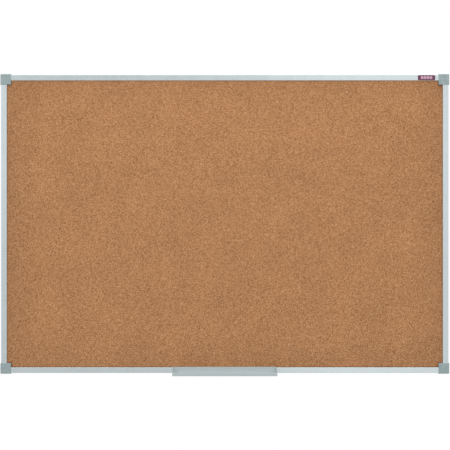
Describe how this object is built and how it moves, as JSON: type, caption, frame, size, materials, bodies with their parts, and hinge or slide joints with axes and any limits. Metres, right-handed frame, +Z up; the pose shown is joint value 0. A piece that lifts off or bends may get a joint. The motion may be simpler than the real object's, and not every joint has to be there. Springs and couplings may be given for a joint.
{
  "type": "cork bulletin board",
  "caption": "Wall-hung cork bulletin board with a slim aluminium frame, push-on corner caps over the wall screws, and a pen tray that slides along the bottom rail.",
  "frame": {"origin": "on the wall plane, at the centre of the four wall screws, which is the centre of the board", "axes": "+X to the right along the board's width, +Y into the wall, +Z up; the cork faces -Y"},
  "size_m": [1.505, 0.081, 1.0083],
  "materials": {
    "backing_paper": "matte",
    "softboard": "matte",
    "cork": "matte",
    "rail_aluminium": "satin",
    "bracket_plastic": "matte",
    "cap_plastic": "matte",
    "screw_steel": "satin",
    "tray_aluminium": "satin",
    "tray_end_plastic": "satin",
    "foam_tape": "matte",
    "badge_plastic": "gloss"
  },
  "bodies": {
    "board": {"backing_sheet": "backing_paper", "softboard_core": "softboard", "cork_sheet": "cork", "top_rail": "rail_aluminium", "bottom_rail": "rail_aluminium", "left_rail": "rail_aluminium", "right_rail": "rail_aluminium", "corner_bracket_top_left": "bracket_plastic", "corner_bracket_top_right": "bracket_plastic", "corner_bracket_bottom_left": "bracket_plastic", "corner_bracket_bottom_right": "bracket_plastic", "rail_screws": "screw_steel", "badge_tape": "foam_tape", "badge_plate": "badge_plastic"},
    "tray": {"pen_tray": "tray_aluminium", "tray_end_left": "tray_end_plastic", "tray_end_right": "tray_end_plastic"},
    "cap_top_left": {"corner_cap_top_left": "cap_plastic"},
    "cap_top_right": {"corner_cap_top_right": "cap_plastic"},
    "cap_bottom_left": {"corner_cap_bottom_left": "cap_plastic"},
    "cap_bottom_right": {"corner_cap_bottom_right": "cap_plastic"}
  },
  "joints": [
    {"name": "tray_slide", "type": "slide", "parent": "board", "child": "tray", "axis": [1, 0, 0], "range_m": [-0.541, 0.541]},
    {"name": "cap_top_left_pull", "type": "slide", "parent": "board", "child": "cap_top_left", "axis": [0, -1, 0], "range_m": [0, 0.025]},
    {"name": "cap_top_right_pull", "type": "slide", "parent": "board", "child": "cap_top_right", "axis": [0, -1, 0], "range_m": [0, 0.025]},
    {"name": "cap_bottom_left_pull", "type": "slide", "parent": "board", "child": "cap_bottom_left", "axis": [0, -1, 0], "range_m": [0, 0.025]},
    {"name": "cap_bottom_right_pull", "type": "slide", "parent": "board", "child": "cap_bottom_right", "axis": [0, -1, 0], "range_m": [0, 0.025]}
  ]
}
